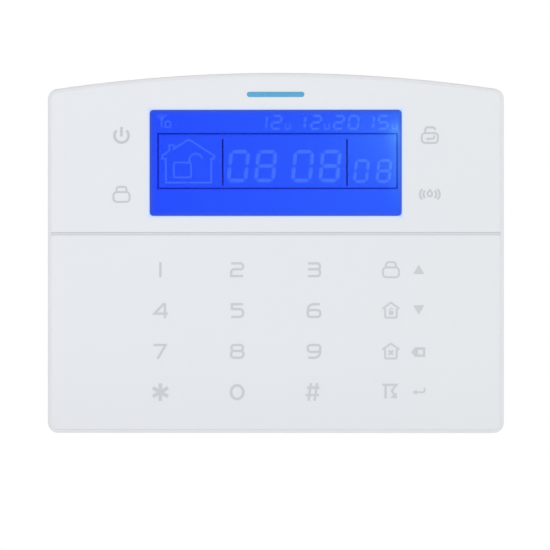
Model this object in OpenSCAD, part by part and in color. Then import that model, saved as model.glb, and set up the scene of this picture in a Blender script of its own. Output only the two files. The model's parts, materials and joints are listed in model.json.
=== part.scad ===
// Touch keypad panel of an intruder alarm, hung on a wall bracket.
// Millimetres, +Z up. The front faces -Y, the wall is the plane y = 0, and the origin is the centre of the
// wall bracket's back face. Every depth is a y value: 0 at the wall, negative towards the front.

/* [Case] */
// Width of the case
panel_w = 190; // [190:1:194]
// Height of the case at the top of its arch
panel_h = 150; // [150:1:154]
// Depth from the wall to the front face
panel_d = 30; // [30:0.5:32]
// Rise of the arched top edge above its ends
arch_rise = 7.2; // [5:0.1:7.2]
// Radius of the case's corners
corner_r = 4.4; // [3.6:0.1:4.4]
// Wall thickness of the two housings
shell_t = 2.2; // [1.8:0.1:2.4]

/* [Front] */
// Thickness of the two fascia plates
fascia_t = 1.8; // [1.6:0.1:2]
// Height of the seam between the fascia plates
seam_z = 8; // [7.8:0.1:8.4]
// Width of the seam
seam_gap = 1.2; // [0.6:0.1:1.2]
// Depth of the seam, down to the rib of the front housing
seam_depth = 0.3; // [0.2:0.1:0.8]
// Width of the rim of the front housing round the fascia plates
rim_w = 1.4; // [1:0.1:1.4]
// Width of the display window
window_w = 105; // [100:0.2:105]
// Height of the display window
window_h = 44.2; // [42:0.2:44.2]
// Height of the display window's centre
window_z = 37.5; // [37:0.1:37.6]

/* [Keys] */
// Distance between key columns
key_pitch_x = 32; // [30:0.5:32]
// Distance between key rows
key_pitch_z = 17; // [16:0.5:17]
// Height of the top row of keys
key_top_z = -7; // [-7.5:0.1:-7]
// Height of the digits on the keys
digit_h = 6.3; // [5:0.1:7]
// Line width of the digits
digit_line = 1; // [0.5:0.05:1]
// Line width of the icons
icon_line = 0.8; // [0.4:0.05:0.8]

/* [Wall bracket] */
// Width of the bracket
bracket_w = 88; // [86:1:92]
// Height of the bracket
bracket_h = 100; // [98:1:104]
// Thickness of the bracket
bracket_t = 3; // [2.5:0.1:3]
// Distance between the wall screws, across
screw_span_x = 60; // [56:1:60]
// Distance between the wall screws, upright
screw_span_z = 84; // [82:1:84]
// Diameter of the wall screw holes
screw_hole_d = 4.5; // [4:0.1:5]
// How far the panel lifts before it leaves the hooks
hook_lift = 8; // [7:0.1:8]

/* [Hidden] */
$fn = 48;

// Colours
plastic_white = [0.90, 0.91, 0.93];
legend_grey = [0.70, 0.72, 0.74];
display_blue = [0.12, 0.26, 0.95];
segment_blue = [0.36, 0.52, 1.0];
line_blue = [0.03, 0.08, 0.55];
board_green = [0.05, 0.32, 0.17];
chip_black = [0.08, 0.08, 0.09];
metal_grey = [0.72, 0.73, 0.75];
brass_gold = [0.80, 0.62, 0.25];

// The arc of the top edge
arch_r = (pow(panel_w / 2, 2) + pow(arch_rise, 2)) / (2 * arch_rise);
arch_z = panel_h / 2 - arch_r;

// Depths
front_y = -panel_d;
fascia_y = front_y + fascia_t;
tape_t = 0.2;
deck_y = fascia_y + tape_t;
deck_t = 2;
deck_back_y = deck_y + deck_t;
rim_y = front_y + 0.05;
split_y = -16;
back_gap = 0.6;
back_y = -(bracket_t + back_gap);
back_in_y = back_y - shell_t;
rear_inset = 1;
rear_in = rear_inset + shell_t;
fascia_inset = rim_w + 0.02;

// Display stack
glass_y = deck_y + 0.4;
glass_t = 2.2;
glass_size = [112, 48.6];
guide_t = 3;
guide_y = glass_y + glass_t + 0.2;
film_t = 0.3;
holder_size = [116, 52.4];
holder_t = 1.7;

// Circuit boards
board_t = 1.6;
keypad_board_y = guide_y + guide_t + film_t + 0.1;
keypad_board_back_y = keypad_board_y + board_t;
keypad_board_x = 80;
keypad_board_z = [-68, 64];
main_board_x = [-46, 90];
main_board_z = [-54, 50];
main_board_back_y = back_in_y - 10.8;
main_board_y = main_board_back_y - board_t;

// Keys
key_x = [for (i = [0:3]) (i - 1.5) * key_pitch_x];
key_z = [for (i = [0:3]) key_top_z - i * key_pitch_z];
arrow_x = key_x[3] + 11.6;
indicator_x = 64.2;
indicator_z = [48.9, 24.4];
key_hole_r = 5;

// Screws
case_screw_r = 1.5;
case_boss_r = 4.2;
case_head_y = back_in_y - 4.4;
case_screw_at = [for (x = [-1, 1], z = [57, -65.5]) [x * (panel_w / 2 - 9.5), z]];
keypad_screw_at = [for (x = [-74, 74], z = [56, 0, -62]) [x, z]];
main_screw_at = [for (x = [-42, 86], z = [46, -50]) [x, z]];

// Wall bracket
hook_x = 36;
hook_z = [26, -30];
hook_w = 6;
hook_stem = 3;
hook_lip = 5;
cable_hole = [48, 32];
cable_entry = [40, 24];

// Tamper switch
tamper_z = -36;
tamper_r = 2;
tamper_in = 1.5;
tamper_out = 1.8;
tamper_collar_y = back_in_y - tamper_out;
tamper_collar_t = 1;

// Battery compartment and its door
bay_x = -70;
bay_size = [33, 65];
bay_wall = 1.5;
bay_depth = 8.2;
door_size = [36, 67.4];
door_t = 2;
door_play = 0.2;
hinge_y = back_y - 0.65;
hinge_z = door_size[1] / 2 + 1.5;
hinge_r = 1.4;
hinge_pin_r = 0.6;
hinge_gap = 0.25;
knuckles = 5;
knuckle_w = 6;

// Side sockets on the right of the rear housing
jack_z = 30;
jack_y = main_board_back_y + 5.4;
switch_z = 8;
switch_y = main_board_back_y + 3.8;
switch_travel = 3;

// Speaker
speaker_at = [66, -30];
speaker_r = 16;

microphone_x = -20;
microphone_y = -11;

// ---------------------------------------------------------------- helpers

// Points on an arc, from angle a0 to angle a1, in n steps.
function arc(x, z, r, a0, a1, n = 5) =
    [for (i = [0:n]) let (a = a0 + (a1 - a0) * i / n) [x + r * cos(a), z + r * sin(a)]];

// The case's outline, moved inwards by inset.
function outline(inset) =
    let (
        w = panel_w / 2 - inset,
        r = max(corner_r - inset, 0.6),
        arch = arch_r - inset,
        x = w - r,
        z = arch_z + sqrt(pow(arch - r, 2) - x * x),
        bottom = -panel_h / 2 + inset + r,
        tilt = atan2(z - arch_z, x)
    )
    concat(
        arc(x, z, r, 0, tilt, 8),
        arc(0, arch_z, arch, tilt, 180 - tilt, 40),
        arc(-x, z, r, 180 - tilt, 180, 8),
        arc(-x, bottom, r, 180, 270, 8),
        arc(x, bottom, r, 270, 360, 8)
    );

// A rounded rectangle's points, centred on [x, z].
function rounded(x, z, w, h, r) = concat(
    arc(x + w / 2 - r, z + h / 2 - r, r, 0, 90),
    arc(x - w / 2 + r, z + h / 2 - r, r, 90, 180),
    arc(x - w / 2 + r, z - h / 2 + r, r, 180, 270),
    arc(x + w / 2 - r, z - h / 2 + r, r, 270, 360)
);

// Extrudes a shape drawn in x and z from depth y_back forwards to depth y_front.
module slab(y_back, y_front) {
    translate([0, y_back, 0]) rotate([90, 0, 0]) linear_extrude(y_back - y_front) children();
}

// A round bar along Y.
module rod(at, r, y_back, y_front) {
    translate([at[0], y_back, at[1]]) rotate([90, 0, 0]) cylinder(r = r, h = y_back - y_front);
}

// A block, centred on at in x and z.
module block(at, size, y_back, y_front) {
    translate([at[0] - size[0] / 2, y_front, at[1] - size[1] / 2]) cube([size[0], y_back - y_front, size[1]]);
}

module ring_2d(outer, inner) {
    difference() {
        polygon(outline(outer));
        polygon(outline(inner));
    }
}

// The part of the fascia outline above (side 1) or below (side -1) the seam.
module fascia_2d(side, inset, gap) {
    low = side > 0 ? seam_z + gap / 2 : -panel_h;
    high = side > 0 ? panel_h : seam_z - gap / 2;
    intersection() {
        polygon(outline(inset));
        translate([-panel_w, low]) square([2 * panel_w, high - low]);
    }
}

// A small screw along Y with a cross recess. Its head's face is at y_head, looking back (+Y) if way is 1.
module screw(at, y_head, head_r, head_t, r, length, way = 1) {
    translate([at[0], y_head, at[1]]) rotate([90 * way, 0, 0]) difference() {
        union() {
            cylinder(r = head_r, h = head_t);
            cylinder(r = r, h = head_t + length);
        }
        for (a = [0, 90]) rotate(a) cube([head_r * 1.3, head_r * 0.32, head_t * 1.4], center = true);
    }
}

// Faces of a closed tube of rings, each with sides points.
function tube_faces(rings, sides) = concat(
    [[for (j = [0:sides - 1]) j]],
    [for (i = [0:rings - 2], j = [0:sides - 1], k = [0, 1])
        let (a = i * sides + j, b = i * sides + (j + 1) % sides)
        k == 0 ? [a, a + sides, b + sides] : [a, b + sides, b]],
    [[for (j = [sides - 1:-1:0]) (rings - 1) * sides + j]]
);

// A coil spring along Z.
module coil(r, wire, length, turns, steps = 14, sides = 6) {
    rings = round(turns * steps) + 1;
    points = [for (i = [0:rings - 1], j = [0:sides - 1])
        let (a = 360 * i / steps, b = 360 * j / sides, d = r + wire / 2 * cos(b))
        [d * cos(a), d * sin(a), wire / 2 + (length - wire) * i / (rings - 1) + wire / 2 * sin(b)]];
    polyhedron(points, tube_faces(rings, sides), convexity = 10);
}

// ---------------------------------------------------------------- line drawings

function unit(v) = v / norm(v);

// The points of a line moved sideways by d, with mitred corners.
function beside(line, d, closed = false) =
    let (n = len(line))
    [for (i = [0:n - 1])
        let (
            before = i > 0 ? line[i] - line[i - 1] : closed ? line[0] - line[n - 1] : line[1] - line[0],
            after = i < n - 1 ? line[i + 1] - line[i] : closed ? line[0] - line[n - 1] : before,
            u = unit(before),
            v = unit(after)
        )
        line[i] + [-u[1] - v[1], u[0] + v[0]] * d / (1 + u * v)];

function backwards(list) = [for (i = [len(list) - 1:-1:0]) list[i]];

module stroke(line, w) {
    polygon(concat(beside(line, w / 2), backwards(beside(line, -w / 2))));
}

module loop(line, w) {
    difference() {
        polygon(beside(line, -w / 2, true));
        polygon(beside(line, w / 2, true));
    }
}

// One digit, star or hash of the key legends, centred on the origin.
module key_digit(name) {
    w = digit_line;
    top = digit_h / 2;
    z = top - w / 2;
    x = 2.5;
    r = 1.15;
    mid = 0.2;
    upper = concat([[-x, z]], arc(x - r, z - r, r, 90, 0), arc(x - r, mid + r, r, 0, -90));
    lower = concat(arc(x - r, mid - r, r, 90, 0), arc(x - r, -z + r, r, 0, -90), [[-x, -z]]);
    if (name == "1") stroke([[0, -top], [0, top]], w);
    if (name == "2") stroke(concat(upper, arc(-x + r, mid - r, r, 90, 180), [[-x, -z], [x, -z]]), w);
    if (name == "3") {
        stroke(upper, w);
        stroke(concat([[-x, mid]], lower), w);
    }
    if (name == "4") {
        stroke([[1.9, -top], [1.9, z + 0.2]], w);
        stroke([[2, z], [1.2, z], [-2.4, -1.3], [3.1, -1.3]], w);
    }
    if (name == "5") stroke(concat([[x, z], [-x + 0.3, z], [-x + 0.3, 0.6]],
        arc(x - 1.5, -0.9, 1.5, 90, 0), arc(x - 1.5, -z + 1.5, 1.5, 0, -90), [[-x, -z]]), w);
    if (name == "6" || name == "9") rotate(name == "9" ? 180 : 0) {
        loop(rounded(0, (mid - z) / 2, 2 * x + 0.2, z + mid, r), w);
        stroke(concat([[x - 0.1, z]], arc(-x + 2.3, z - 2.4, 2.4, 90, 180), [[-x - 0.1, -z + r]]), w);
    }
    if (name == "7") stroke([[-2.8, z], [2.2, z], [-1.2, -top]], w);
    if (name == "8") {
        loop(rounded(0, (z + mid) / 2, 2 * x - 0.2, z - mid, r), w);
        loop(rounded(0, (mid - z) / 2, 2 * x + 0.2, z + mid, r + 0.2), w);
    }
    if (name == "0") loop([for (a = [0:12:348]) [2.55 * cos(a), (z + 0.2) * sin(a)]], w * 1.15);
    if (name == "star") for (a = [30, 90, 150]) rotate(a) square([digit_h + 1, 1.5], center = true);
    if (name == "hash") {
        for (s = [0, 2.55]) stroke([[s - 2.3, -top - 0.4], [s - 1.25, top + 0.7]], w);
        for (s = [0, 1]) stroke([[s * 0.6 - 3.5, s * 3.1 - 1.2], [s * 0.2 + 2.1, s * 3.1 - 1.2]], w);
    }
}

module padlock_body() {
    loop(rounded(0, -1.1, 6.7, 4.1, 1.4), icon_line);
}

// A bent arrow: up at its right end, h high, with a filled head at its left end.
module return_arrow(w, h) {
    stroke(concat([[w, h]], arc(w - 0.6, 0.6, 0.6, 0, -90), [[-w * 0.4, 0]]), 0.7);
    polygon([[-w, 0], [-w * 0.25, w * 0.42], [-w * 0.25, -w * 0.42]]);
}

module house() {
    loop([[0, 3.3], [-3.15, 1], [-2.4, 0.45], [-2.4, -2.6], [-2.1, -2.95], [2.1, -2.95], [2.4, -2.6],
        [2.4, 0.45], [3.15, 1]], icon_line);
}

// One icon of the key or indicator legends, centred on the origin.
module icon(name) {
    w = icon_line;
    if (name == "power") {
        stroke(arc(0, 0, 2.95, 134, 406, 20), w + 0.25);
        stroke([[0, 3.6], [0, -0.4]], w + 0.3);
    }
    if (name == "lock") {
        padlock_body();
        stroke(concat([[-2.1, 0.95]], arc(-1, 2.1, 1.05, 180, 90), arc(1, 2.1, 1.05, 90, 0), [[2.1, 0.95]]),
            w);
    }
    if (name == "unlock") {
        padlock_body();
        stroke(concat([[-1.9, 0.95]], arc(-0.8, 2.25, 1.1, 180, 95), arc(1.05, 2.15, 1.2, 85, 5)), w + 0.1);
        translate([0, -1.4]) return_arrow(1.8, 1.4);
    }
    if (name == "alarm") {
        loop([[0, 1.8], [-1, 0.4], [-0.8, -0.5], [0, -0.9], [0.8, -0.5], [1, 0.4]], 0.8);
        for (s = [0, 180], ring = [[1.35, 2.8], [0.7, 2]])
            rotate(s) stroke(arc(ring[0], 0, ring[1], -50, 50), 0.85);
    }
    if (name == "home") {
        house();
        translate([0.1, -1]) square([1.9, 1.7], center = true);
        stroke(concat([[-0.35, -0.2]], arc(0.15, 0.4, 0.5, 180, 60), [[0.9, 0.5]]), 0.45);
    }
    if (name == "away") {
        house();
        translate([0, -0.5]) for (a = [45, -45]) rotate(a) square([2.5, 0.8], center = true);
    }
    if (name == "bypass") {
        stroke([[-3.5, 3.1], [2.3, 3.1], [0.4, 0.7], [1.6, -1.4]], w + 0.15);
        stroke([[-2.2, 3.2], [-2.2, -2.6]], w + 0.2);
        polygon([[-0.3, -2.3], [2.5, -2.6], [2.4, -0.2]]);
    }
    if (name == "up") polygon([[-2.3, -1.8], [2.3, -1.8], [0, 2.1]]);
    if (name == "down") polygon([[-2.3, 2.2], [0, -1.7], [2.3, 2.2]]);
    if (name == "erase") translate([0, -0.3]) difference() {
        polygon([[-3.2, 0], [-1.5, 2], [2.7, 2], [2.7, -2], [-1.5, -2]]);
        translate([0.7, 0]) square([2, 1.9], center = true);
    }
    if (name == "enter") translate([-0.2, 0]) return_arrow(2.6, 2);
}

// The seven segments of a display digit, as [start, end] in units of its width and height.
segment_lines = [
    [[0, 1], [1, 1]], [[1, 1], [1, 0.5]], [[1, 0.5], [1, 0]], [[0, 0], [1, 0]],
    [[0, 0.5], [0, 0]], [[0, 1], [0, 0.5]], [[0, 0.5], [1, 0.5]],
];
// Which segments are lit for each digit
lit = [
    [0, 1, 2, 3, 4, 5], [1, 2], [0, 1, 6, 4, 3], [0, 1, 6, 2, 3], [5, 6, 1, 2],
    [0, 5, 6, 2, 3], [0, 5, 6, 4, 2, 3], [0, 1, 2], [0, 1, 2, 3, 4, 5, 6], [0, 1, 2, 3, 5, 6],
];
digit_slant = 0.1;

// A slanted display digit with its lower left corner at [x, z]. w and h are between the centre lines of its
// segments.
module display_digit(digit, x, z, w, h, t) {
    for (s = lit[digit]) {
        ends = [for (p = segment_lines[s]) [p[0] * w, p[1] * h]];
        u = unit(ends[1] - ends[0]);
        n = [-u[1], u[0]];
        a = ends[0] + u * t * 0.2;
        b = ends[1] - u * t * 0.2;
        flat = [a, a + (u + n) * t / 2, b + (n - u) * t / 2, b, b - (u + n) * t / 2, a + (u - n) * t / 2];
        polygon([for (p = flat) [x + p[0] + p[1] * digit_slant, z + p[1]]]);
    }
}

// ---------------------------------------------------------------- wall bracket

module wall_bracket() color(plastic_white) {
    difference() {
        slab(0, -bracket_t) polygon(rounded(0, 0, bracket_w, bracket_h, 6));
        slab(1, -bracket_t - 1) polygon(rounded(0, 0, cable_hole[0], cable_hole[1], 4));
        slab(1, -bracket_t - 1) polygon(rounded(0, tamper_z + hook_lift / 2, 9, 8 + hook_lift, 2));
        for (x = [-1, 1], z = [-1, 1]) {
            at = [x * screw_span_x / 2, z * screw_span_z / 2];
            rod(at, screw_hole_d / 2, 1, -bracket_t - 1);
            translate([at[0], -bracket_t + 1.8, at[1]]) rotate([90, 0, 0])
                cylinder(r1 = screw_hole_d / 2, r2 = screw_hole_d / 2 + 2.2, h = 2.2);
        }
        // Lightening slots beside the cable opening
        for (x = [-1, 1]) slab(1, -bracket_t - 1) polygon(rounded(x * 35, 0, 8, 26, 3));
    }
    for (x = [-hook_x, hook_x], z = hook_z) bracket_hook(x, z);
}

module bracket_hook(x, z) {
    lip_y = back_in_y - 0.4;
    lip_t = 1.7;
    block([x, z], [hook_w, hook_stem], -bracket_t + 0.5, lip_y - lip_t);
    block([x, z + hook_stem / 2 + hook_lip / 2 - 0.5], [hook_w, hook_lip + 1], lip_y, lip_y - lip_t);
}

// ---------------------------------------------------------------- housings

module rear_shell() {
    chamfer = 2.5;
    hull() {
        slab(back_y - chamfer, split_y) polygon(outline(rear_inset));
        slab(back_y, back_y - 0.1) polygon(outline(rear_inset + chamfer));
    }
}

module hook_slots() {
    low = hook_stem / 2 + hook_lift + 0.2;
    high = hook_stem / 2 + 0.1;
    for (x = [-hook_x, hook_x], z = hook_z)
        block([x, z + (high - low) / 2], [hook_w + 1.6, low + high], back_y + 1, back_in_y - 1);
}

module speaker_grille() {
    step = 3.6;
    for (i = [-4:4], j = [-4:4]) {
        at = [step * (i + j / 2), step * j * sqrt(3) / 2];
        if (norm(at) < speaker_r - 2.5) rod(speaker_at + at, 1, back_y + 1, back_in_y - 1);
    }
}

// The knuckles of the battery door's hinge with the given parity: 0 on the housing, 1 on the door.
module hinge_knuckles(parity, grow = 0) {
    for (i = [0:knuckles - 1]) if (i % 2 == parity) {
        x = bay_x + (i - (knuckles - 1) / 2) * knuckle_w;
        w = knuckle_w - hinge_gap + 2 * grow;
        translate([x - w / 2, hinge_y, hinge_z]) rotate([0, 90, 0]) cylinder(r = hinge_r + grow, h = w);
    }
}

// The webs that join those knuckles to the housing above them or to the door below them.
module hinge_webs(parity) {
    for (i = [0:knuckles - 1]) if (i % 2 == parity) {
        x = bay_x + (i - (knuckles - 1) / 2) * knuckle_w;
        z = hinge_z + (parity == 0 ? 1.4 : -1.4);
        block([x, z], [knuckle_w - hinge_gap, 2.8], hinge_y, back_y - door_t);
    }
}

module hinge_bore() {
    reach = knuckles * knuckle_w + 2;
    translate([bay_x - reach / 2, hinge_y, hinge_z]) rotate([0, 90, 0])
        cylinder(r = hinge_pin_r + 0.05, h = reach);
}

module battery_bay() {
    outer = [bay_size[0] + 2 * bay_wall, bay_size[1] + 2 * bay_wall];
    floor_y = back_in_y - bay_depth - 1.2;
    difference() {
        union() {
            block([bay_x, 0], outer, back_in_y + 0.1, floor_y);
            block([bay_x, outer[1] / 2 + 2], [outer[0], 5], back_in_y + 0.05, back_in_y - 2);
        }
        block([bay_x, 0], bay_size, back_y + 1, floor_y + 1.2);
        // Wire slot into the case
        block([bay_x + outer[0] / 2, 24], [4 * bay_wall, 5], back_in_y - 3, back_in_y - 6);
    }
}

module rear_housing() color(plastic_white) {
    opening = door_size + [2 * door_play, 2 * door_play];
    opening_top = hinge_z + hinge_r + 0.3;
    difference() {
        union() {
            difference() {
                rear_shell();
                slab(back_in_y, split_y - 1) polygon(outline(rear_in));
            }
            slab(split_y + 0.5, split_y - 1.8) ring_2d(shell_t + 0.2, rear_in + 0.2);
            for (at = case_screw_at) rod(at, case_boss_r, back_in_y + 0.1, split_y);
            for (at = main_screw_at) rod(at, 3, back_in_y + 0.1, main_board_back_y);
            rod(speaker_at, speaker_r + 1.6, back_in_y + 0.1, back_in_y - 3.4);
            battery_bay();
        }
        hook_slots();
        speaker_grille();
        rod(speaker_at, speaker_r + 0.4, back_in_y, back_in_y - 5);
        slab(back_y + 1, back_in_y - 1) polygon(rounded(0, 0, cable_entry[0], cable_entry[1], 3));
        rod([0, tamper_z], tamper_r + 0.05, back_y + 1, back_in_y - 1);
        for (at = case_screw_at) {
            rod(at, 3.3, back_y + 1, case_head_y);
            rod(at, case_screw_r + 0.2, back_y, split_y - 3);
        }
        for (at = main_screw_at) rod(at, 1.15, back_in_y - 2, main_board_back_y - 1);
        block([bay_x, (opening_top - opening[1] / 2) / 2], [opening[0], opening_top + opening[1] / 2],
            back_y + 1, back_in_y);
        // Label recess, vents in the top and bottom walls, and the sockets in the right wall
        block([68, 18], [36, 30], back_y + 1, back_y - 0.2);
        for (x = [-30:6:30], z = [-1, 1]) block([x, z * panel_h / 2], [3, 16], -8.5, -13);
        translate([panel_w / 2 - 6, jack_y, jack_z]) rotate([0, 90, 0]) cylinder(r = 4.1, h = 8);
        translate([panel_w / 2 - 6, switch_y - 1.7, switch_z - 4.2]) cube([8, 3.4, 8.4]);
        translate([microphone_x, microphone_y, -panel_h / 2 - 1]) cylinder(r = 0.9, h = 6);
    }
    difference() {
        union() {
            hinge_knuckles(0);
            hinge_webs(0);
        }
        hinge_bore();
    }
}

module front_housing() color(plastic_white) {
    deck_holes = concat(
        [for (x = key_x, z = key_z) [x, z]],
        [for (x = [-1, 1], z = indicator_z) [x * indicator_x, z]]
    );
    difference() {
        union() {
            slab(split_y, deck_y) ring_2d(0, shell_t);
            slab(deck_back_y, deck_y) polygon(outline(shell_t - 0.1));
            slab(deck_y + 0.1, rim_y) ring_2d(0, rim_w);
            // Rib between the fascia plates
            block([0, seam_z], [panel_w - 2 * rim_w + 0.2, seam_gap - 0.1], deck_y + 0.1,
                front_y + seam_depth);
            for (at = case_screw_at) rod(at, 3.5, split_y - 0.1, deck_back_y - 0.1);
            for (at = keypad_screw_at) rod(at, 3, keypad_board_y, deck_back_y - 0.1);
        }
        block([0, window_z], holder_size + [0.4, 0.4], deck_back_y + 1, deck_y - 1);
        for (at = deck_holes) rod(at, key_hole_r, deck_back_y + 1, deck_y - 1);
        for (at = case_screw_at) rod(at, case_screw_r + 0.05, split_y, deck_back_y + 1.2);
        for (at = keypad_screw_at) rod(at, 1.15, keypad_board_y + 1, deck_y + 0.6);
    }
}

// ---------------------------------------------------------------- front

module upper_fascia() color(plastic_white) difference() {
    slab(fascia_y, front_y) fascia_2d(1, fascia_inset, seam_gap);
    slab(fascia_y + 1, front_y - 1) polygon(rounded(0, window_z, window_w, window_h, 1.6));
    block([0, window_z], [window_w + 4, window_h + 4], fascia_y + 1, front_y + 0.6);
}

module lower_fascia() color(plastic_white) slab(fascia_y, front_y) fascia_2d(-1, fascia_inset, seam_gap);

module upper_fascia_tape() color("white") slab(deck_y, fascia_y) difference() {
    fascia_2d(1, 3, seam_gap + 1);
    translate([-59, window_z - 26.8]) square([118, 53.6]);
    for (x = [-1, 1], z = indicator_z) translate([x * indicator_x, z]) circle(r = key_hole_r);
}

module lower_fascia_tape() color("white") slab(deck_y, fascia_y) difference() {
    fascia_2d(-1, 3, seam_gap + 1);
    for (x = key_x, z = key_z) translate([x, z]) circle(r = key_hole_r);
}

module display_window() color([0.75, 0.85, 1.0, 0.25])
    slab(fascia_y - 0.05, front_y + 0.6) polygon(rounded(0, window_z, window_w + 3.6, window_h + 3.6, 0.5));

print_t = 0.06;

module accent_mark() color([0.16, 0.60, 0.85]) slab(front_y, front_y - print_t)
    polygon(rounded(0, 66, 24, 2.2, 1.05));

module placed(at, y_back, t) slab(y_back, y_back - t) translate(at) children();

module indicator_legends() color(legend_grey) {
    names = [["power", "lock"], ["unlock", "alarm"]];
    for (i = [0, 1], j = [0, 1])
        placed([(2 * i - 1) * indicator_x, indicator_z[j]], front_y, print_t) icon(names[i][j]);
}

module key_legends() color(legend_grey) {
    digits = [["1", "2", "3"], ["4", "5", "6"], ["7", "8", "9"], ["star", "0", "hash"]];
    for (row = [0:3], col = [0:2])
        placed([key_x[col], key_z[row]], front_y, print_t) key_digit(digits[row][col]);
    icons = ["lock", "home", "away", "bypass"];
    arrows = ["up", "down", "erase", "enter"];
    for (row = [0:3]) {
        placed([key_x[3], key_z[row]], front_y, print_t) icon(icons[row]);
        placed([arrow_x, key_z[row]], front_y, print_t) icon(arrows[row]);
    }
}

// ---------------------------------------------------------------- display

module lcd_glass() color(display_blue) block([0, window_z], glass_size, glass_y + glass_t, glass_y);

module clock_digits() {
    for (i = [0:3]) display_digit([0, 8, 0, 8][i], [-19.7, -8.3, 7.1, 18.5][i], 30.2, 7.1, 12, 1.6);
    for (i = [0, 1]) display_digit([0, 8][i], 32.8 + 9.4 * i, 29.8, 5, 8.7, 1.2);
}

module date_digits() {
    digits = [1, 2, 1, 2, 2, 0, 1, 5];
    x = [-7.9, -1.8, 8.1, 14.7, 24.2, 30.3, 36.7, 42.6];
    for (i = [0:7]) display_digit(digits[i], x[i], 51.7, 3.8, 5.4, 0.95);
    for (mark_x = [5, 21.3, 49.6]) stroke([[mark_x - 0.9, 53.9], [mark_x - 0.9, 51.7], [mark_x + 0.9, 51.7],
        [mark_x + 0.9, 53.9]], 0.5);
}

module display_house() {
    w = 0.7;
    translate([-0.3, 0.2]) {
        stroke([[-35.8, 29.1], [-26.6, 29.1], [-26.6, 39.1], [-25.4, 39.1], [-25.4, 40.4], [-35.9, 47.1],
            [-42.2, 43.2], [-42.2, 44.8], [-44.1, 44.8], [-44.1, 42.4], [-47, 40.4], [-47, 39.1],
            [-45.5, 39.1], [-45.5, 29.1], [-36.6, 29.1]], w);
        loop(rounded(-38.6, 34.4, 7.2, 6.2, 0.5), w);
        stroke(concat([[-35.8, 37.4]], arc(-33, 38.4, 2.8, 180, 15, 8)), w);
    }
}

module signal_icon() {
    stroke([[-49.6, 57.8], [-47.6, 55.5], [-45.6, 57.8]], 0.6);
    stroke([[-47.6, 57.9], [-47.6, 52.4]], 0.6);
    loop(rounded(-45, 53.6, 2.3, 2.6, 0.8), 0.6);
}

segment_t = 0.08;

module lcd_segments() color(segment_blue) slab(glass_y, glass_y - segment_t) {
    clock_digits();
    date_digits();
    display_house();
    signal_icon();
}

module lcd_guide_lines() color(line_blue) slab(glass_y, glass_y - segment_t) {
    difference() {
        translate([-49.4, 26.6]) square([100.3, 23.4]);
        translate([-48.75, 27.25]) square([99, 22.1]);
    }
    for (x = [-22.1, 29.7]) translate([x - 0.3, 28]) square([0.6, 19.5]);
}

module lcd_holder() color([0.93, 0.93, 0.90]) difference() {
    inside = holder_size - 2 * [holder_t, holder_t];
    block([0, window_z], holder_size, keypad_board_y, glass_y);
    block([0, window_z], inside, guide_y - 0.1, glass_y - 1);
    block([0, window_z], inside - [1.6, 1.6], 0, glass_y);
}

module backlight_guide() color([0.55, 0.68, 1.0])
    block([0, window_z], [110, 46.6], guide_y + guide_t, guide_y);

module backlight_leds() color("lightyellow") for (z = [-12, 0, 12])
    block([55.2, window_z + z], [0.4, 3], guide_y + 2.4, guide_y + 0.6);

module reflector_film() color("white")
    block([0, window_z], [110, 46.6], guide_y + guide_t + film_t, guide_y + guide_t);

module lcd_contact_strips() color([0.85, 0.45, 0.5]) for (z = [-1, 1])
    block([0, window_z + z * 23.5], [96, 0.3], keypad_board_y, guide_y - 0.2);

// ---------------------------------------------------------------- keypad board

module keypad_board() color(board_green) difference() {
    block([0, (keypad_board_z[0] + keypad_board_z[1]) / 2],
        [2 * keypad_board_x, keypad_board_z[1] - keypad_board_z[0]], keypad_board_back_y, keypad_board_y);
    for (at = keypad_screw_at) rod(at, 1.3, keypad_board_back_y + 1, keypad_board_y - 1);
}

module keypad_board_chips() color(chip_black) {
    sizes = [[-60, 30, 10, 10], [-60, 50, 8, 6], [66, 38, 7, 7], [-58, -60, 6, 5], [60, -60, 6, 5]];
    for (c = sizes) block([c[0], c[1]], [c[2], c[3]], keypad_board_back_y + 1.1, keypad_board_back_y);
}

// A flat spring finger ring presses on the back of the fascia at each key.
module touch_springs() color(metal_grey) for (x = key_x, z = key_z) difference() {
    rod([x, z], 4, keypad_board_y, fascia_y);
    rod([x, z], 3.4, keypad_board_y + 1, fascia_y - 1);
}

module key_leds() color("lightyellow") for (x = key_x, z = key_z)
    block([x, z], [2, 1.2], keypad_board_y, keypad_board_y - 0.8);

module indicator_light_pipes() color([0.9, 0.95, 1.0]) for (x = [-1, 1], z = indicator_z) {
    rod([x * indicator_x, z], 3.4, keypad_board_y - 1, fascia_y);
    block([x * indicator_x, z], [3.2, 1.6], keypad_board_y, keypad_board_y - 1);
}

module keypad_board_screws() color(metal_grey) for (at = keypad_screw_at)
    screw(at, keypad_board_back_y + 1.3, 2.2, 1.3, 1.1, 5);

// ---------------------------------------------------------------- main board

module main_board() color(board_green) difference() {
    size = [main_board_x[1] - main_board_x[0], main_board_z[1] - main_board_z[0]];
    block([main_board_x[0], main_board_z[0]] + size / 2, size, main_board_back_y, main_board_y);
    for (at = main_screw_at) rod(at, 1.3, main_board_back_y + 1, main_board_y - 1);
}

// A part standing on the back of the main board, h high.
module on_board(at, size, h) block(at, size, main_board_back_y + h, main_board_back_y);

module main_board_chips() color(chip_black) {
    on_board([-24, 14], [12, 12], 1.4);
    on_board([-6, 30], [9, 7], 1.6);
    on_board([-30, -8], [8, 6], 1.6);
    on_board([34, 4], [7, 6], 1.6);
    on_board([70, 14], [10, 7], 2.2);
    on_board([28, -44], [8, 5], 1.6);
}

module capacitors() color([0.15, 0.2, 0.35]) {
    for (at = [[60, 10], [60, 0], [44, -48]]) rod(at, 4, main_board_back_y + 7.5, main_board_back_y);
    for (at = [[-38, 2], [-14, -46]]) rod(at, 2.5, main_board_back_y + 6, main_board_back_y);
}

module siren_relay() color([0.10, 0.25, 0.55]) on_board([-30, -34], [15, 12], 7.6);

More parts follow.
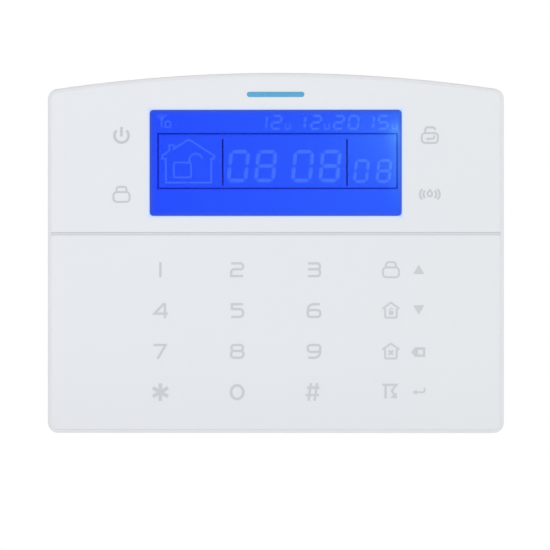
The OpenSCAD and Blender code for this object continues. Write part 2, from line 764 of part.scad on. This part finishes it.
module phone_module() color(metal_grey) on_board([18, 36], [24, 22], 3);

module sim_holder() color([0.78, 0.78, 0.8]) difference() {
    on_board([52, 37], [17, 15], 2);
    block([52, 37], [13, 11], main_board_back_y + 3, main_board_back_y + 0.6);
    block([52, 44], [11, 4], main_board_back_y + 1.5, main_board_back_y + 0.6);
}

module radio_module() color([0.10, 0.20, 0.50]) {
    on_board([-22, 38], [22, 12], 1.2);
    on_board([-26, 38], [9, 8], 2.6);
}

module radio_antenna() color(brass_gold) translate([-10.5, main_board_back_y + 3.4, 46.5]) rotate([0, -90, 0])
    coil(2, 0.7, 22, 9, 10);

module terminal_block() color([0.12, 0.45, 0.25]) {
    ways = 8;
    pitch = 5;
    difference() {
        on_board([0, -20], [ways * pitch, 8], 10);
        for (i = [0:ways - 1]) {
            at = [(i - (ways - 1) / 2) * pitch, -20];
            rod(at - [0, 0.8], 1.7, main_board_back_y + 11, main_board_back_y + 7);
            translate([at[0] - 1.6, main_board_back_y + 1.5, -17]) cube([3.2, 4, 4]);
        }
    }
}

module terminal_screws() color(metal_grey) for (i = [0:7])
    screw([(i - 3.5) * 5, -20.8], main_board_back_y + 8.6, 1.6, 1.5, 0.8, 0.1);

module dc_jack() color(chip_black) {
    depth = 9;
    nose_x = panel_w / 2 - 2;
    translate([nose_x, jack_y, jack_z]) rotate([0, -90, 0]) difference() {
        union() {
            cylinder(r = 3.9, h = 4);
            translate([-4.5, -5.4, 1.8]) cube([9, 10, 12.2]);
        }
        translate([0, 0, -1]) cylinder(r = 3.1, h = depth + 1);
    }
    translate([nose_x - depth - 0.5, jack_y, jack_z]) rotate([0, 90, 0]) cylinder(r = 1, h = depth);
}

module power_switch_body() color(metal_grey) difference() {
    on_board([86.5, switch_z], [7, 12], 6.6);
    translate([85.5, switch_y - 1.6, switch_z - 4.6]) cube([6, 3.2, 9.2]);
}

module power_switch_slider() color(chip_black) {
    translate([86, switch_y - 1.3, switch_z - switch_travel / 2 - 2.6]) cube([3.6, 2.6, 5.2]);
    translate([89, switch_y - 1.2, switch_z - switch_travel / 2 - 1.8]) cube([panel_w / 2 - 89.3, 2.4, 3.6]);
}

module tamper_switch_body() color(chip_black) difference() {
    on_board([0, tamper_z], [9, 9], tamper_collar_y - 3.4 - main_board_back_y);
    rod([0, tamper_z], tamper_r + 0.3, main_board_back_y + 9, main_board_back_y + 1);
}

module tamper_plunger() color([0.85, 0.15, 0.12]) {
    tip = 0.8;
    rod([0, tamper_z], tamper_r, -0.05 - tip, tamper_collar_y - 5.4);
    translate([0, -0.05 - tip, tamper_z]) rotate([-90, 0, 0])
        cylinder(r1 = tamper_r, r2 = tamper_r - tip, h = tip);
    rod([0, tamper_z], 3.3, tamper_collar_y, tamper_collar_y - tamper_collar_t);
}

module tamper_spring() color(metal_grey) translate([0, tamper_collar_y - tamper_collar_t, tamper_z])
    rotate([90, 0, 0]) coil(2.75, 0.4, 2.4, 3, 12);

module main_board_screws() color(metal_grey) for (at = main_screw_at)
    screw(at, main_board_y - 1.3, 2.2, 1.3, 1.1, 5, -1);

module ribbon_cable() color([0.82, 0.82, 0.80]) {
    w = 20;
    line = concat(
        [[keypad_board_back_y + 2.5, -62.5]],
        arc(keypad_board_back_y + 5.5, -60.5, 2, 270, 360),
        [[keypad_board_back_y + 7.5, -52.5]]
    );
    translate([-w / 2, 0, 0]) rotate([90, 0, 90]) linear_extrude(w) stroke(line, 0.6);
}

module ribbon_sockets() color([0.95, 0.94, 0.88]) {
    block([0, -62.5], [24, 5], keypad_board_back_y + 2.2, keypad_board_back_y);
    difference() {
        on_board([0, -50.5], [24, 5], keypad_board_back_y + 9.4 - main_board_back_y);
        block([0, -52], [20.6, 3], keypad_board_back_y + 8, keypad_board_back_y + 7);
    }
}

// ---------------------------------------------------------------- sound

module speaker_frame() color(metal_grey) difference() {
    union() {
        rod(speaker_at, speaker_r, back_in_y - 0.2, back_in_y - 2);
        rod(speaker_at, speaker_r - 2, back_in_y - 2, back_in_y - 5.4);
        rod(speaker_at, 7, back_in_y - 5.4, back_in_y - 8.6);
    }
    rod(speaker_at, speaker_r - 3, back_in_y, back_in_y - 4.6);
}

module speaker_cone() color([0.15, 0.15, 0.16]) translate([speaker_at[0], back_in_y - 0.4, speaker_at[1]])
    rotate([90, 0, 0]) rotate_extrude() polygon([[0, 2.2], [4, 2.8], [speaker_r - 3.1, 0.4],
        [speaker_r - 3.1, 0.8], [4, 3.3], [0, 2.7]]);

module microphone() color(metal_grey) translate([microphone_x, microphone_y, -panel_h / 2 + 4.4])
    cylinder(r = 3, h = 3.4);

module microphone_boot() color(chip_black) translate([microphone_x, microphone_y, -panel_h / 2 + rear_in])
    difference() {
        cylinder(r = 4, h = 5.2);
        translate([0, 0, 1.2]) cylinder(r = 3, h = 5);
        translate([0, 0, -1]) cylinder(r = 0.9, h = 4);
    }

// ---------------------------------------------------------------- power, labels and screws

module battery_pack() color([0.20, 0.45, 0.75])
    slab(back_in_y - 0.4, back_in_y - bay_depth) polygon(rounded(bay_x, -1, 31, 61, 3));

module battery_door() color(plastic_white) difference() {
    union() {
        block([bay_x, 0], door_size, back_y, back_y - door_t);
        hinge_knuckles(1);
        hinge_webs(1);
    }
    hinge_bore();
    hinge_knuckles(0, 0.2);
    // Snap tongue cut free on both sides, with a thumb recess
    for (x = [-5, 5]) block([bay_x + x, -door_size[1] / 2], [0.8, 16], back_y + 1, back_y - door_t - 1);
    for (i = [0:3]) block([bay_x, -door_size[1] / 2 + 3 + 1.6 * i], [6, 0.8], back_y + 1, back_y - 0.5);
}

module battery_hinge_pin() color(metal_grey)
    translate([bay_x - knuckles * knuckle_w / 2, hinge_y, hinge_z]) rotate([0, 90, 0])
        cylinder(r = hinge_pin_r, h = knuckles * knuckle_w - hinge_gap);

module rating_label() color([0.88, 0.88, 0.86]) block([68, 18], [35, 29], back_y - 0.1, back_y - 0.2);

module case_screws() color(metal_grey) for (at = case_screw_at)
    screw(at, case_head_y + 2, 2.9, 2, case_screw_r, 11);

// ---------------------------------------------------------------- nodes

wall_bracket();
rear_housing();
front_housing();
upper_fascia();
lower_fascia();
upper_fascia_tape();
lower_fascia_tape();
display_window();
accent_mark();
indicator_legends();
key_legends();
lcd_glass();
lcd_segments();
lcd_guide_lines();
lcd_holder();
backlight_guide();
backlight_leds();
reflector_film();
lcd_contact_strips();
keypad_board();
keypad_board_chips();
touch_springs();
key_leds();
indicator_light_pipes();
ribbon_cable();
ribbon_sockets();
main_board();
main_board_chips();
capacitors();
siren_relay();
phone_module();
sim_holder();
radio_module();
radio_antenna();
terminal_block();
terminal_screws();
dc_jack();
power_switch_body();
power_switch_slider();
tamper_switch_body();
tamper_plunger();
tamper_spring();
speaker_frame();
speaker_cone();
microphone();
microphone_boot();
battery_pack();
battery_door();
battery_hinge_pin();
rating_label();
case_screws();
keypad_board_screws();
main_board_screws();
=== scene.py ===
"""Looks of the alarm keypad panel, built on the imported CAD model. Metres, +Z up, the front faces -Y."""

import json
import math

import bmesh
import bpy
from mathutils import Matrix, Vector


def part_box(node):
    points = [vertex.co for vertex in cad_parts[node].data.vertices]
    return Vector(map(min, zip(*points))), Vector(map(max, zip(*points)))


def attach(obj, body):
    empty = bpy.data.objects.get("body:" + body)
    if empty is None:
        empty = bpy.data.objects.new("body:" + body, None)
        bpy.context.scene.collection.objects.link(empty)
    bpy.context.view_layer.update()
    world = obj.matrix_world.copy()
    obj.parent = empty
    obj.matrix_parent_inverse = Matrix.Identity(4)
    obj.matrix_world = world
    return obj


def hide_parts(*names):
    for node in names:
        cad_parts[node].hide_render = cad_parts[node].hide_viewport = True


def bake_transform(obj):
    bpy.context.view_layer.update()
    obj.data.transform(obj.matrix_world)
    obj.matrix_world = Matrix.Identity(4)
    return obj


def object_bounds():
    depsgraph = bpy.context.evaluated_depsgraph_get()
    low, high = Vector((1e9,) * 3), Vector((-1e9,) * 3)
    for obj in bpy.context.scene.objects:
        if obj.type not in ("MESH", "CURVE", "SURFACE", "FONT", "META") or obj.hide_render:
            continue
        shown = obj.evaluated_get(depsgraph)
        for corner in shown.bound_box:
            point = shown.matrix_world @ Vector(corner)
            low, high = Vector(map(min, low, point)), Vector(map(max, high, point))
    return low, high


MM = 0.001
WELD_DISTANCE = 2e-6
CREASE = math.radians(34)  # edges sharper than this stay crisp
BEVEL_CREASE = math.radians(32)  # edges sharper than this may be rounded
FLAT = math.radians(0.6)  # faces closer than this in angle are merged

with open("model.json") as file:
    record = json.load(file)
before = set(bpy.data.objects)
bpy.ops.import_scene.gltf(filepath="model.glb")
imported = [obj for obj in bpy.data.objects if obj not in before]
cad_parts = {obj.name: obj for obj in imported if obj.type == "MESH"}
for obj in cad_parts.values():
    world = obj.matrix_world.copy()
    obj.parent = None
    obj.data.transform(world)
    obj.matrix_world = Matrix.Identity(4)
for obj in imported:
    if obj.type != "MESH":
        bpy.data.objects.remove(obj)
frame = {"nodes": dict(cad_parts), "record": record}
nodes = frame["nodes"]
slots = {s["node"]: s["material_slot"] for s in frame["record"]["subparts"]}
body_of = {n: b for b, names in frame["record"]["behaviour"]["bodies"].items() for n in names}
cad_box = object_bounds()

front_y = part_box("upper_fascia")[0].y
rim_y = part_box("front_housing")[0].y
split_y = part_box("front_housing")[1].y
back_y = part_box("battery_door")[1].y
chamfer_y = back_y - 2.5 * MM
seam_low, seam_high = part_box("lower_fascia")[1].z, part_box("upper_fascia")[0].z
seam_z = (seam_low + seam_high) / 2
window_size = Vector((105, 44.2)) * MM
window_z = (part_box("display_window")[0].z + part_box("display_window")[1].z) / 2

materials = {}


# ---------------------------------------------------------------- node helpers


class Graph:
    """A node tree, with short calls for the few node kinds used here."""

    def __init__(self, tree, coordinates):
        self.tree = tree
        self.tree.nodes.clear()
        self.place = self.node("ShaderNodeTexCoord").outputs[coordinates]

    def node(self, kind, **values):
        n = self.tree.nodes.new(kind)
        for k, v in values.items():
            setattr(n, k, v)
        return n

    def link(self, a, b):
        self.tree.links.new(a, b)

    def put(self, socket, value):
        if isinstance(value, bpy.types.NodeSocket):
            self.link(value, socket)
        elif socket.type == "RGBA":
            socket.default_value = (*value, 1)
        else:
            socket.default_value = value

    def math(self, op, a, b=0.0, c=0.0):
        n = self.node("ShaderNodeMath", operation=op)
        for s, v in zip(n.inputs, (a, b, c)):
            self.put(s, v)
        return n.outputs[0]

    def axes(self):
        """The x, y and z of a point."""
        n = self.node("ShaderNodeSeparateXYZ")
        self.link(self.place, n.inputs[0])
        return n.outputs

    def mapped(self, scale=(1, 1, 1), turn=(0, 0, 0)):
        n = self.node("ShaderNodeMapping")
        self.link(self.place, n.inputs["Vector"])
        n.inputs["Scale"].default_value = scale
        n.inputs["Rotation"].default_value = turn
        return n.outputs[0]

    def noise(self, scale, detail=3.0, rough=0.5, vector=None):
        n = self.node("ShaderNodeTexNoise")
        self.link(vector or self.place, n.inputs["Vector"])
        n.inputs["Scale"].default_value = scale
        n.inputs["Detail"].default_value = detail
        n.inputs["Roughness"].default_value = rough
        return n.outputs["Fac"]

    def ramp(self, fac, stops):
        n = self.node("ShaderNodeValToRGB")
        n.color_ramp.elements.remove(n.color_ramp.elements[1])
        for i, (at, color) in enumerate(stops):
            e = n.color_ramp.elements[0] if i == 0 else n.color_ramp.elements.new(at)
            e.position = at
            e.color = (*color, 1)
        self.put(n.inputs["Fac"], fac)
        return n.outputs["Color"]

    def mix(self, fac, a, b):
        n = self.node("ShaderNodeMix", data_type="RGBA")
        self.put(n.inputs[0], fac)
        self.put(n.inputs[6], a)
        self.put(n.inputs[7], b)
        return n.outputs[2]

    def span(self, value, low, high, to_low=0.0, to_high=1.0):
        n = self.node("ShaderNodeMapRange")
        self.put(n.inputs["Value"], value)
        for k, v in (("From Min", low), ("From Max", high), ("To Min", to_low), ("To Max", to_high)):
            n.inputs[k].default_value = v
        return n.outputs["Result"]

    def within(self, value, low, high):
        """1 where value is between low and high, 0 elsewhere."""
        return self.math("COMPARE", value, (low + high) / 2, (high - low) / 2)


class Surface(Graph):
    """A new material in the list of materials, with its principled shader."""

    def __init__(self, name):
        self.mat = materials[name] = bpy.data.materials.new(name)
        self.mat.use_nodes = True
        super().__init__(self.mat.node_tree, "Object")
        self.bsdf = self.node("ShaderNodeBsdfPrincipled")
        self.link(self.bsdf.outputs[0], self.node("ShaderNodeOutputMaterial").inputs["Surface"])

    def bump(self, height, depth):
        n = self.node("ShaderNodeBump")
        n.inputs["Strength"].default_value = 1.0
        n.inputs["Distance"].default_value = depth
        self.link(height, n.inputs["Height"])
        self.link(n.outputs[0], self.bsdf.inputs["Normal"])

    def set(self, **values):
        for k, v in values.items():
            self.put(self.bsdf.inputs[k.replace("_", " ")], v)

    def uneven(self, value, low, high):
        """A noise value, spread from low to high over its usual range."""
        return self.span(value, 0.3, 0.7, low, high)


def srgb(r, g, b):
    """Linear colour from 0 to 255 sRGB values."""
    parts = (r / 255, g / 255, b / 255)
    return tuple(c / 12.92 if c <= 0.04045 else ((c + 0.055) / 1.055) ** 2.4 for c in parts)


def shade(color, k):
    return tuple(min(1.0, c * k) for c in color)


# ---------------------------------------------------------------- materials


def moulded(name, color, rough=0.45, vary=0.03, grain=2600, depth=0.012, **more):
    """Moulded plastic: a faint cloudy colour, fine spark-eroded grain and uneven gloss."""
    gloss_vary = 0.08
    g = Surface(name)
    g.set(Base_Color=g.mix(g.noise(38, 4, 0.55), shade(color, 1 - vary), shade(color, 1 + vary)),
          Roughness=g.uneven(g.noise(160, 3), rough - gloss_vary, rough + gloss_vary), **more)
    g.bump(g.noise(grain, 2, 0.6), depth * MM)
    return g


def housing(name, color, rough):
    """The case's plastic, with painted shade on the rib in the seam between the two fascia plates."""
    g = moulded(name, color, rough)
    x, y, z = g.axes()
    low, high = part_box("upper_fascia")
    # Painted shade: the rib in the seam between the two fascia plates is made darker
    painted_seam_shade = g.math("MULTIPLY", g.within(z, seam_low, seam_high), g.within(y, front_y - MM, front_y + MM))
    painted_seam_shade = g.math("MULTIPLY", painted_seam_shade, g.within(x, low.x, high.x))
    unshaded_color = g.bsdf.inputs["Base Color"].links[0].from_socket
    g.set(Base_Color=g.mix(painted_seam_shade, unshaded_color, srgb(220, 224, 229)))


def metal(name, color, rough=0.32, stretch=(60, 900, 900)):
    """Plated metal with faint drawing lines."""
    g = Surface(name)
    lines = g.noise(1.0, 3, 0.6, g.mapped(scale=stretch))
    g.set(Metallic=1.0, Base_Color=g.mix(lines, shade(color, 0.86), shade(color, 1.06)),
          Roughness=g.uneven(lines, rough - 0.08, rough + 0.1))
    g.bump(lines, 0.006 * MM)


def board(name, color):
    """Circuit board: solder mask over traces, with tinned vias."""
    g = Surface(name)
    traces = g.node("ShaderNodeTexBrick")
    g.link(g.mapped(turn=(math.pi / 2, 0, 0)), traces.inputs["Vector"])
    for k, v in (("Scale", 120.0), ("Mortar Size", 0.045), ("Mortar Smooth", 0.3), ("Brick Width", 0.9),
                 ("Row Height", 0.16)):
        traces.inputs[k].default_value = v
    vias = g.node("ShaderNodeTexVoronoi")
    g.link(g.place, vias.inputs["Vector"])
    vias.inputs["Scale"].default_value = 210
    via = g.math("LESS_THAN", vias.outputs["Distance"], 0.11)
    mask = g.mix(g.noise(50, 4), shade(color, 0.9), shade(color, 1.1))
    mask = g.mix(g.math("MULTIPLY", traces.outputs["Fac"], 0.5), mask, shade(color, 2.1))
    g.set(Base_Color=g.mix(via, mask, srgb(196, 190, 172)), Roughness=g.span(via, 0, 1, 0.28, 0.35),
          Metallic=g.math("MULTIPLY", via, 0.9))
    g.bump(g.math("ADD", traces.outputs["Fac"], via), 0.02 * MM)


def beyond_window(g, x, z):
    """How far a point lies outside the window's edge, negative inside it."""
    across = g.math("SUBTRACT", g.math("ABSOLUTE", x), window_size.x / 2)
    up = g.math("ABSOLUTE", g.math("SUBTRACT", z, window_z))
    return g.math("MAXIMUM", across, g.math("SUBTRACT", up, window_size.y / 2))


def fascia(name):
    """The pale acrylic face: almost even, faintly cooler to the left and greyer towards the lower corners."""
    bleed_reach = 0.55 * MM
    g = Surface(name)
    x, _, z = g.axes()
    across = g.span(x, cad_box[0].x, cad_box[1].x)
    up = g.span(z, cad_box[0].z, cad_box[1].z)
    base = g.ramp(up, [(0, srgb(230, 233, 238)), (0.25, srgb(234, 237, 242))])
    base = g.mix(across, base, g.mix(0.5, base, srgb(229, 234, 235)))
    base = g.mix(g.math("MULTIPLY", g.noise(26, 3, 0.5), 0.08), base, srgb(216, 221, 230))
    # Blue light from the display that bleeds into the plastic round the window
    bleed = g.math("EXPONENT", g.math("MULTIPLY", beyond_window(g, x, z), -1 / bleed_reach))
    base = g.mix(g.math("MULTIPLY", bleed, 0.5), base, srgb(150, 184, 255))
    g.set(Base_Color=base, Roughness=g.uneven(g.noise(14, 2), 0.20, 0.26), IOR=1.45,
          Emission_Color=srgb(20, 105, 255), Emission_Strength=g.math("MULTIPLY", bleed, 0.33))
    g.bump(g.noise(1900, 2), 0.002 * MM)


# Where the display's lamps show: x and z from the window's middle and reach along x and z in mm, and their
# share of the glow
LAMPS = ((50.5, 12, 3.4, 5.0, 0.62), (51.0, 0, 3.6, 12.0, 0.3), (53, 10, 22, 14, 0.2))


def display(name, left, right, glow, strength, divider=None):
    """A backlit layer of the display: brighter to the right, where its lamps are, with fine mottling.
    divider is the colour of the upright lines inside its frame."""
    g = Surface(name)
    x, _, z = g.axes()
    low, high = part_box("lcd_glass")
    base = g.mix(g.span(x, low.x, high.x), left, right)
    for at_x, at_z, reach_x, reach_z, amount in LAMPS:
        dx = g.math("DIVIDE", g.math("SUBTRACT", x, at_x * MM), reach_x * MM)
        dz = g.math("DIVIDE", g.math("SUBTRACT", z, window_z + at_z * MM), reach_z * MM)
        away = g.math("ADD", g.math("MULTIPLY", dx, dx), g.math("MULTIPLY", dz, dz))
        spot = g.math("MULTIPLY", g.math("EXPONENT", g.math("MULTIPLY", away, -1.0)), amount)
        base = g.mix(spot, base, glow)
    mottle = g.noise(1.0, 3, 0.6, g.mapped(scale=(120, 120, 900)))
    base = g.mix(g.math("MULTIPLY", mottle, 0.12), base, shade(left, 0.72))
    # The bezel's shadow round the edge of the window
    edge = g.span(beyond_window(g, x, z), -2.2 * MM, 0.1 * MM)
    base = g.mix(g.math("POWER", edge, 2.0), base, srgb(66, 92, 174))
    if divider:
        low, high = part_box("lcd_guide_lines")
        inside_frame = g.math("MULTIPLY", g.within(x, low.x + MM, high.x - MM),
                              g.within(z, low.z + MM, high.z - MM))
        base = g.mix(inside_frame, base, divider)
    g.set(Base_Color=shade(left, 0.02), Roughness=0.5, Emission_Color=base, Emission_Strength=strength,
          Specular_IOR_Level=0.05)


def clear(name, alpha):
    """The clear display window, with a trace of handling haze."""
    g = Surface(name)
    g.set(Base_Color=g.mix(g.noise(60, 3), srgb(4, 8, 40), srgb(6, 12, 52)),
          Roughness=g.uneven(g.noise(90, 3), 0.03, 0.09), IOR=1.45, Specular_IOR_Level=0.25, Alpha=alpha)


def legends(name, low, high):
    """The grey print of the legends, a little darker towards the top of the face."""
    g = Surface(name)
    ink = g.mix(g.span(g.axes()[2], 0, 40 * MM), low, high)
    g.set(Base_Color=g.mix(g.noise(38, 4, 0.55), ink, shade(low, 1.03)), Roughness=0.35)
    g.bump(g.noise(2600, 2, 0.6), 0.002 * MM)


def label(name):
    """Blank rating label: paper with faint fibres and a few rows of grey bars, which start at the left as
    seen from behind."""
    rows, margin, shortest, longest = 6, 2.4 * MM, 18 * MM, 5 * MM
    g = Surface(name)
    low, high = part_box("rating_label")
    x, _, z = g.axes()
    row = g.span(z, low.z + margin, high.z - margin, 0, rows)
    in_row = g.math("COMPARE", g.math("FRACT", row), 0.5, 0.13)
    in_block = g.within(z, low.z + margin, high.z - margin)
    random = g.node("ShaderNodeTexWhiteNoise", noise_dimensions="1D")
    g.link(g.math("FLOOR", row), random.inputs["W"])
    end = g.span(random.outputs["Value"], 0, 1, low.x + longest, low.x + shortest)
    in_bar = g.math("MULTIPLY", g.math("GREATER_THAN", x, end), g.math("LESS_THAN", x, high.x - 3 * MM))
    ink = g.math("MULTIPLY", g.math("MULTIPLY", in_row, in_block), in_bar)
    paper = g.mix(g.noise(900, 3), srgb(228, 228, 224), srgb(240, 240, 237))
    g.set(Base_Color=g.mix(ink, paper, srgb(150, 152, 156)), Roughness=0.55)
    g.bump(g.noise(1600, 2), 0.01 * MM)


housing("housing_plastic", srgb(231, 232, 236), 0.42)
fascia("fascia_gloss")
moulded("adhesive_tape", srgb(240, 240, 240), 0.6, grain=900)
clear("window_glass", 0.1)
moulded("accent_ink", srgb(84, 166, 210), 0.3, depth=0.002)
legends("legend_ink", srgb(203, 207, 211), srgb(196, 200, 205))
display("lcd_cell", srgb(32, 74, 252), srgb(41, 92, 253), srgb(86, 156, 255), 1.23)
display("lcd_segment", srgb(59, 104, 251), srgb(69, 118, 252), srgb(104, 174, 255), 1.23)
display("lcd_line", srgb(8, 28, 196), srgb(10, 36, 200), srgb(60, 120, 240), 1.0, divider=srgb(3, 12, 150))
moulded("inner_plastic", srgb(232, 231, 224), 0.5)
moulded("light_guide", srgb(216, 232, 250), 0.12, depth=0.002, IOR=1.49, Coat_Weight=0.4)
moulded("led", srgb(250, 240, 190), 0.25, depth=0.002)
moulded("contact_rubber", srgb(214, 150, 150), 0.7, grain=500)
moulded("contact_rubber_black", srgb(28, 28, 29), 0.75, grain=700)
board("circuit_board", srgb(20, 92, 52))
moulded("chip", srgb(30, 30, 32), 0.5, vary=0.12)
metal("plated_steel", srgb(190, 192, 196))
moulded("ribbon", srgb(206, 206, 200), 0.4)
moulded("capacitor_sleeve", srgb(34, 44, 90), 0.25, depth=0.003)
moulded("relay_blue", srgb(28, 70, 150), 0.3, depth=0.004)
board("module_blue", srgb(22, 44, 120))
metal("brass_wire", srgb(214, 174, 92), 0.25, (900, 900, 900))
moulded("terminal_green", srgb(38, 128, 72), 0.45)
moulded("black_plastic", srgb(24, 24, 25), 0.42)
moulded("plunger_red", srgb(196, 38, 30), 0.4)
moulded("speaker_paper", srgb(34, 33, 34), 0.85, grain=1200, depth=0.03)
moulded("battery_wrap", srgb(44, 104, 172), 0.28, depth=0.004)
label("label_paper")


# ---------------------------------------------------------------- pieces


def welded(node):
    """A bmesh of a CAD node with its seams joined and its flat faces merged."""
    bm = bmesh.new()
    bm.from_mesh(nodes[node].data)
    bmesh.ops.remove_doubles(bm, verts=bm.verts, dist=WELD_DISTANCE)
    bmesh.ops.dissolve_limit(bm, angle_limit=FLAT, verts=bm.verts, edges=bm.edges)
    return bm


def sharp_edges(bm):
    return [e for e in bm.edges if len(e.link_faces) == 2 and e.calc_face_angle(0) > BEVEL_CREASE]


def rounded_piece(name, node, passes, far_body=None):
    """Builds a piece that stands for a CAD node, with some of its sharp edges rounded.
    passes is a list of (test of an edge, radius in mm, segments). If far_body is given, the piece's place is
    baked into its mesh and it is attached to no body."""
    bm = welded(node)
    for test, radius, segments in passes:
        edges = [e for e in sharp_edges(bm) if test(e)]
        bmesh.ops.bevel(bm, geom=edges, offset=radius * MM, offset_type="OFFSET", segments=segments,
                        profile=0.5, affect="EDGES", clamp_overlap=False, miter_outer="SHARP",
                        miter_inner="SHARP")
    mesh = bpy.data.meshes.new(name)
    bm.to_mesh(mesh)
    bm.free()
    piece = bpy.data.objects.new(name, mesh)
    bpy.context.scene.collection.objects.link(piece)
    for p in mesh.polygons:
        p.use_smooth = True
    mesh.set_sharp_from_angle(angle=CREASE)
    piece.modifiers.new("flat_faces", "WEIGHTED_NORMAL").keep_sharp = True
    mesh.materials.append(materials[slots[node]])
    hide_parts(node)
    if far_body:
        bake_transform(piece)
    else:
        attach(piece, body_of[node])


def at_depth(y):
    """Edges that lie in the plane at depth y."""
    return lambda e: all(abs(v.co.y - y) < 0.05 * MM for v in e.verts)


def both(*tests):
    return lambda e: all(t(e) for t in tests)


def middle(e):
    return (e.verts[0].co + e.verts[1].co) / 2


def outward(e):
    """Edges between a face across the depth and a side face that looks away from the middle."""
    side = min(e.link_faces, key=lambda f: abs(f.normal.y))
    return side.normal.x * middle(e).x + side.normal.z * middle(e).z > 0


def on_outline(e):
    """Edges of a fascia that follow the case's outline, not the seam or the window."""
    mid = middle(e)
    near_window = (abs(mid.x) < window_size.x / 2 + MM
                   and abs(mid.z - window_z) < window_size.y / 2 + MM)
    at_side = abs(mid.x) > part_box("front_housing")[1].x - 2 * MM
    return at_side or (abs(mid.z - seam_z) > 2 * MM and not near_window)


def inside_outline(e):
    return not on_outline(e)


def on_slope(e):
    """Edges of the chamfer round the back of the case."""
    return any(0.3 < abs(f.normal.y) < 0.95 for f in e.link_faces)


rounded_piece("front_shell", "front_housing", [
    (both(at_depth(rim_y), outward), 1.2, 5),
    (both(at_depth(split_y), outward), 0.25, 2),
])
for face, fascia_node in (("upper_face", "upper_fascia"), ("lower_face", "lower_fascia")):
    rounded_piece(face, fascia_node, [
        (both(at_depth(front_y), on_outline), 0.05, 2),
        (both(at_depth(front_y), inside_outline), 0.22, 3),
    ])
rounded_piece("back_shell", "rear_housing", [
    (both(at_depth(back_y), on_slope), 0.9, 3),
    (both(at_depth(chamfer_y), on_slope), 0.9, 3),
])
rounded_piece("bracket_plate", "wall_bracket", [(at_depth(0), 0.35, 2)])
rounded_piece("bay_door", "battery_door", [(at_depth(back_y), 0.18, 2)])
rounded_piece("travel_coil", "tamper_spring", [], far_body="plunger")

for name, part in nodes.items():
    if part.hide_render:
        continue
    part.data.materials.clear()
    part.data.materials.append(materials[slots[name]])
    for p in part.data.polygons:
        p.use_smooth = True
    part.modifiers.new("join_seams", "WELD").merge_threshold = WELD_DISTANCE
    part.modifiers.new("crisp_edges", "EDGE_SPLIT").split_angle = CREASE
    part.modifiers.new("flat_faces", "WEIGHTED_NORMAL")


# ---------------------------------------------------------------- stage

FILM_WIDTH = 36
VIEW_WIDTH = 229 * MM  # what the frame spans at the object
CAMERA_DISTANCE = 2.4
CAMERA_TURN = math.radians(1.2)
FLOOR_DROP = 1.4  # below the object's lowest point, since it hangs on a wall
FLOOR_REACH = 12

camera = bpy.data.objects.new("camera", bpy.data.cameras.new("camera"))
bpy.context.scene.collection.objects.link(camera)
bpy.context.scene.camera = camera
camera.data.sensor_width = FILM_WIDTH
camera.data.lens = FILM_WIDTH * CAMERA_DISTANCE / VIEW_WIDTH
camera.data.dof.use_dof = False
target = Vector((-0.25 * MM, front_y, -9.2 * MM))
camera.location = target + Vector((math.sin(CAMERA_TURN), -math.cos(CAMERA_TURN), 0)) * CAMERA_DISTANCE
camera.rotation_euler = (math.pi / 2, 0, CAMERA_TURN)

floor_mesh = bpy.data.meshes.new("floor")
corners = [(x * FLOOR_REACH, y * FLOOR_REACH, cad_box[0].z - FLOOR_DROP)
           for x, y in ((-1, -1), (1, -1), (1, 1), (-1, 1))]
floor_mesh.from_pydata(corners, [], [(0, 1, 2, 3)])
floor = bpy.data.objects.new("floor", floor_mesh)
bpy.context.scene.collection.objects.link(floor)
moulded("floor_paint", srgb(243, 243, 244), 0.7, vary=0.01, grain=60,
        Emission_Color=srgb(243, 243, 244), Emission_Strength=0.3)
floor_mesh.materials.append(materials["floor_paint"])


def softbox(name, place, size, power):
    light = bpy.data.lights.new(name, "AREA")
    light.shape = "RECTANGLE"
    light.size, light.size_y = size
    light.energy = power
    lamp = bpy.data.objects.new(name, light)
    bpy.context.scene.collection.objects.link(lamp)
    lamp.location = place
    lamp.rotation_euler = (-lamp.location).to_track_quat("-Z", "Y").to_euler()
    lamp.visible_camera = False


softbox("front_softbox", (0.5, -2.2, 0.5), (1.6, 1.2), 3)
softbox("top_softbox", (0, -1.5, 1.9), (2.2, 0.4), 8)
softbox("back_softbox", (-0.8, 2.2, 0.6), (1.6, 1.2), 9)

world = bpy.data.worlds.new("studio")
bpy.context.scene.world = world
world.use_nodes = True
studio = Graph(world.node_tree, "Generated")
# The studio is brightest in front of the object and below it. For x, y and z: slope and curve of its level
level = 0.905
for along, (slope, curve) in zip(studio.axes(), ((0.06, 0.1), (-0.1, 0.0), (-0.36, -0.2))):
    steepness = studio.math("ADD", studio.math("MULTIPLY", along, curve), slope)
    level = studio.math("ADD", level, studio.math("MULTIPLY", along, steepness))
seen = studio.node("ShaderNodeMix")
studio.link(studio.node("ShaderNodeLightPath").outputs["Is Camera Ray"], seen.inputs[0])
studio.link(level, seen.inputs[2])
seen.inputs[3].default_value = 1.0
backdrop = studio.node("ShaderNodeBackground")
backdrop.inputs["Color"].default_value = (1, 1, 1, 1)
studio.link(seen.outputs[0], backdrop.inputs["Strength"])
studio.link(backdrop.outputs[0], studio.node("ShaderNodeOutputWorld").inputs["Surface"])
bpy.context.scene.view_settings.view_transform = "Standard"
